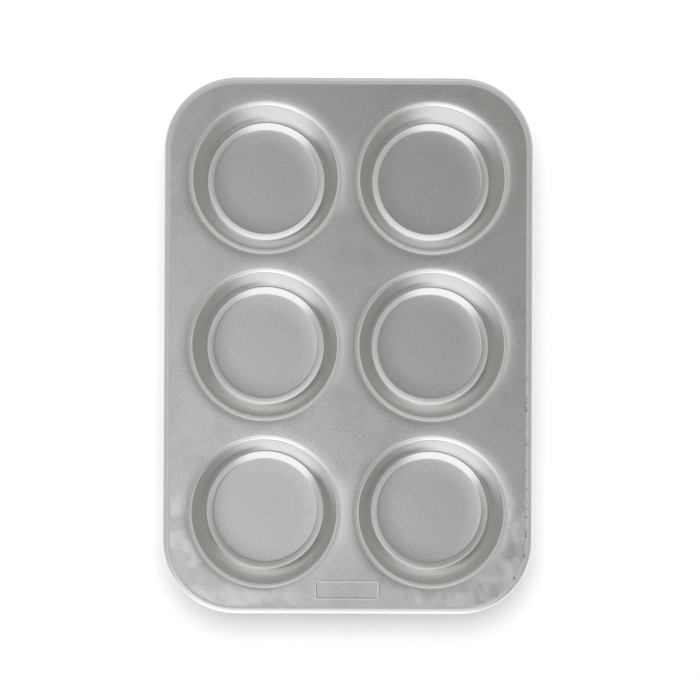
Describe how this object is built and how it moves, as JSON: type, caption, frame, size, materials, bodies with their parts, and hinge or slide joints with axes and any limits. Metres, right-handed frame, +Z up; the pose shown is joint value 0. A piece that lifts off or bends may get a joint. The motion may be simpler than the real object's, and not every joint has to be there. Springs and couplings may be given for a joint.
{
  "type": "jumbo muffin pan",
  "caption": "Bare aluminium muffin pan with deep round cups in a flat deck, a bare stamped plaque at the front and an edge rolled round a stiffening wire.",
  "frame": {"origin": "middle of the pan in plan, on the surface that it stands on, level with the undersides of the cup floors", "axes": "+Z up out of the cups' mouths, +Y along the long side from the front, where the plaque is, to the back, +X to the right"},
  "size_m": [0.2352, 0.341, 0.0449],
  "materials": {
    "sheet": "bare pressed aluminium, fine grain on the flats and satin on the drawn walls",
    "wire": "galvanised"
  },
  "bodies": {
    "root": {"deck": "sheet", "rolled_rim": "sheet", "rim_wire": "wire", "cup_front_left": "sheet", "cup_front_right": "sheet", "cup_middle_left": "sheet", "cup_middle_right": "sheet", "cup_back_left": "sheet", "cup_back_right": "sheet"}
  },
  "joints": []
}
